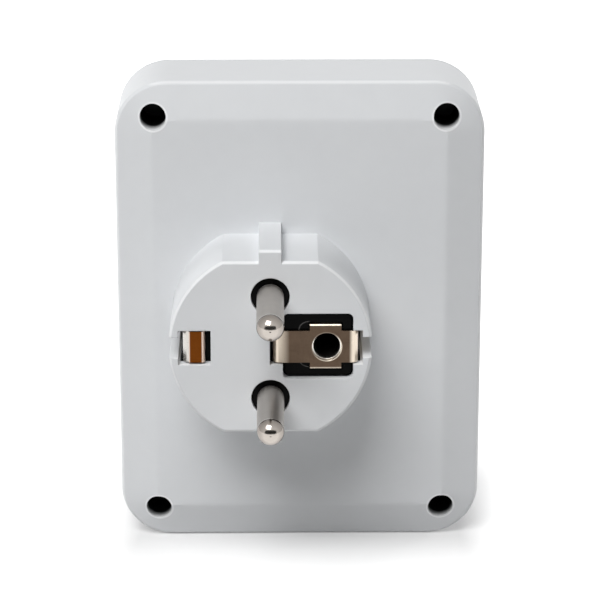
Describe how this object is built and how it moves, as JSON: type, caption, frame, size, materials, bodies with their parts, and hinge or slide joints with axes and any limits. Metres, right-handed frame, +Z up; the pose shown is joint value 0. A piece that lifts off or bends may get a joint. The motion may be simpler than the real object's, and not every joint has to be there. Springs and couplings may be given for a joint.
{
  "type": "multi socket adapter",
  "caption": "Plug-in mains adapter: hybrid earthed plug nose at the rear, a round earthed socket and flat sockets with shutters at the front.",
  "frame": {"origin": "middle of the plug face, half way between its two pins", "axes": "-Y along the plug pins into the outlet, +Y out of the sockets, +Z up along the casing's long side, +X right seen from behind"},
  "size_m": [0.0668, 0.0665, 0.0878],
  "materials": {
    "casing_plastic": "satin light grey-white moulding",
    "insulator_plastic": "matt black moulding",
    "nickel_plate": "nickel plated brass",
    "contact_brass": "plain stamped brass",
    "copper": "plain copper strap",
    "steel": "zinc plated steel",
    "shutter_plastic": "matt grey moulding"
  },
  "bodies": {
    "casing": {"rear_shell": "casing_plastic", "front_cover": "casing_plastic", "round_socket_floor": "casing_plastic", "flat_socket_floor_upper": "casing_plastic", "flat_socket_floor_lower": "casing_plastic", "plug_insert": "insulator_plastic", "contact_carrier": "insulator_plastic", "plug_pin_line": "nickel_plate", "plug_pin_neutral": "nickel_plate", "earth_bridge": "nickel_plate", "earth_sleeve": "nickel_plate", "earth_clip_left": "nickel_plate", "socket_earth_bracket": "nickel_plate", "round_contact_line": "contact_brass", "round_contact_neutral": "contact_brass", "flat_contact_upper_outer": "contact_brass", "flat_contact_upper_inner": "contact_brass", "flat_contact_lower_inner": "contact_brass", "flat_contact_lower_outer": "contact_brass", "line_busbar": "contact_brass", "neutral_busbar": "contact_brass", "earth_link": "copper", "casing_screws": "steel", "round_shutter_spring": "steel", "flat_spring_upper": "steel", "flat_spring_lower": "steel"},
    "turning_shutter": {"round_shutter": "shutter_plastic"},
    "upper_shutter": {"flat_shutter_upper": "shutter_plastic"},
    "lower_shutter": {"flat_shutter_lower": "shutter_plastic"}
  },
  "joints": [
    {"name": "round_shutter_turn", "type": "hinge", "parent": "casing", "child": "turning_shutter", "pos_m": [0, 0.0265, 0], "axis": [0, 1, 0], "range_deg": [0, 46], "stiffness_Nm_per_rad": 0.002, "springref_deg": -17.19, "deforming": ["round_shutter_spring"]},
    {"name": "upper_shutter_slide", "type": "slide", "parent": "casing", "child": "upper_shutter", "axis": [0, 0, -1], "range_m": [0, 0.0055], "stiffness_N_per_m": 60, "springref_m": -0.004, "deforming": ["flat_spring_upper"]},
    {"name": "lower_shutter_slide", "type": "slide", "parent": "casing", "child": "lower_shutter", "axis": [0, 0, 1], "range_m": [0, 0.0055], "stiffness_N_per_m": 60, "springref_m": -0.004, "deforming": ["flat_spring_lower"]}
  ]
}
